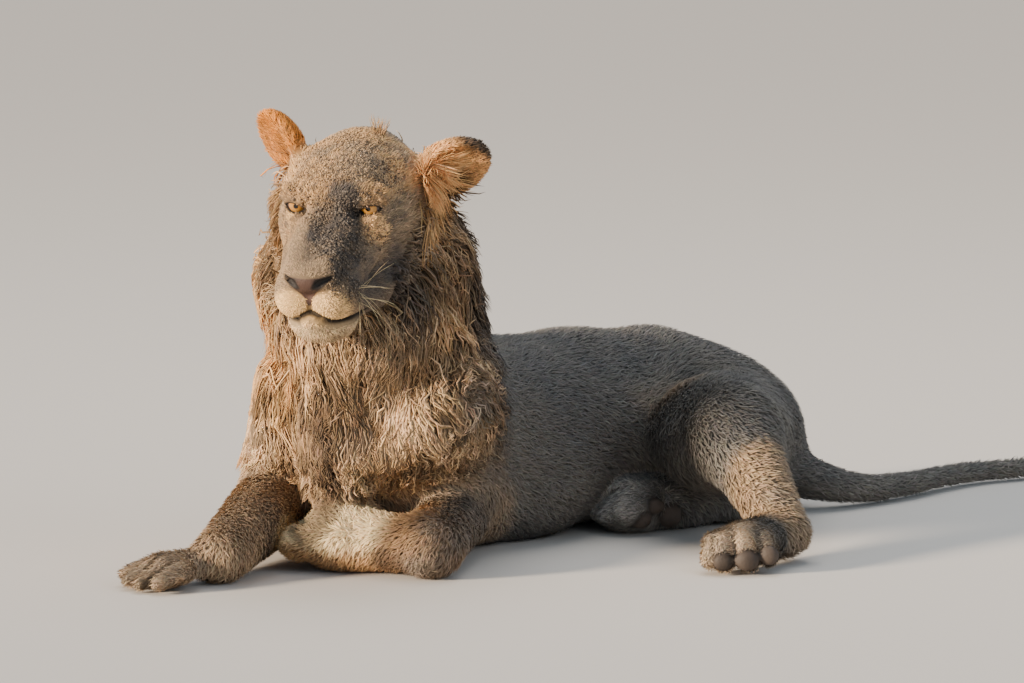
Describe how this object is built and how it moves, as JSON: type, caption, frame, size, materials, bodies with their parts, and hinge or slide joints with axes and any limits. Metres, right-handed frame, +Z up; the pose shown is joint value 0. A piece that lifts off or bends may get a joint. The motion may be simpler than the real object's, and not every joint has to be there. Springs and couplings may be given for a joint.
{
  "type": "young male lion lying down",
  "caption": "Young male lion lying on its belly with raised head, crossed forepaw, short straggly mane and outstretched tail.",
  "frame": {"origin": "on the floor under the belly, on the flat that the trunk rests on", "axes": "+Z up; the lion's body points to -Y, its tail to +Y, and its left side is +X"},
  "size_m": [0.7494, 1.9849, 0.665],
  "materials": {
    "coat": "short muddy tawny fur",
    "mane": "wet, stringy tan and brown hair",
    "tuft": "dark brown hair",
    "ear": "short orange-tan fur",
    "nose": "damp dark brown nose leather",
    "eye": "wet amber eye"
  },
  "bodies": {
    "root": {"belly": "coat", "chest": "coat", "head": "coat", "lower_jaw": "coat", "hindquarters": "coat", "fore_paw_left": "coat", "fore_paw_right": "coat", "forearm_left": "coat", "forearm_right": "coat", "upper_arm_left": "coat", "upper_arm_right": "coat", "hind_foot_left": "coat", "hind_foot_right": "coat", "shank_left": "coat", "shank_right": "coat", "thigh_left": "coat", "thigh_right": "coat", "tail_root": "coat", "tail_front": "coat", "tail_middle": "coat", "tail_tip": "coat", "neck": "mane", "tail_tuft": "tuft", "ear_left": "ear", "ear_right": "ear", "nose": "nose", "eye_left": "eye", "eye_right": "eye"}
  },
  "joints": []
}
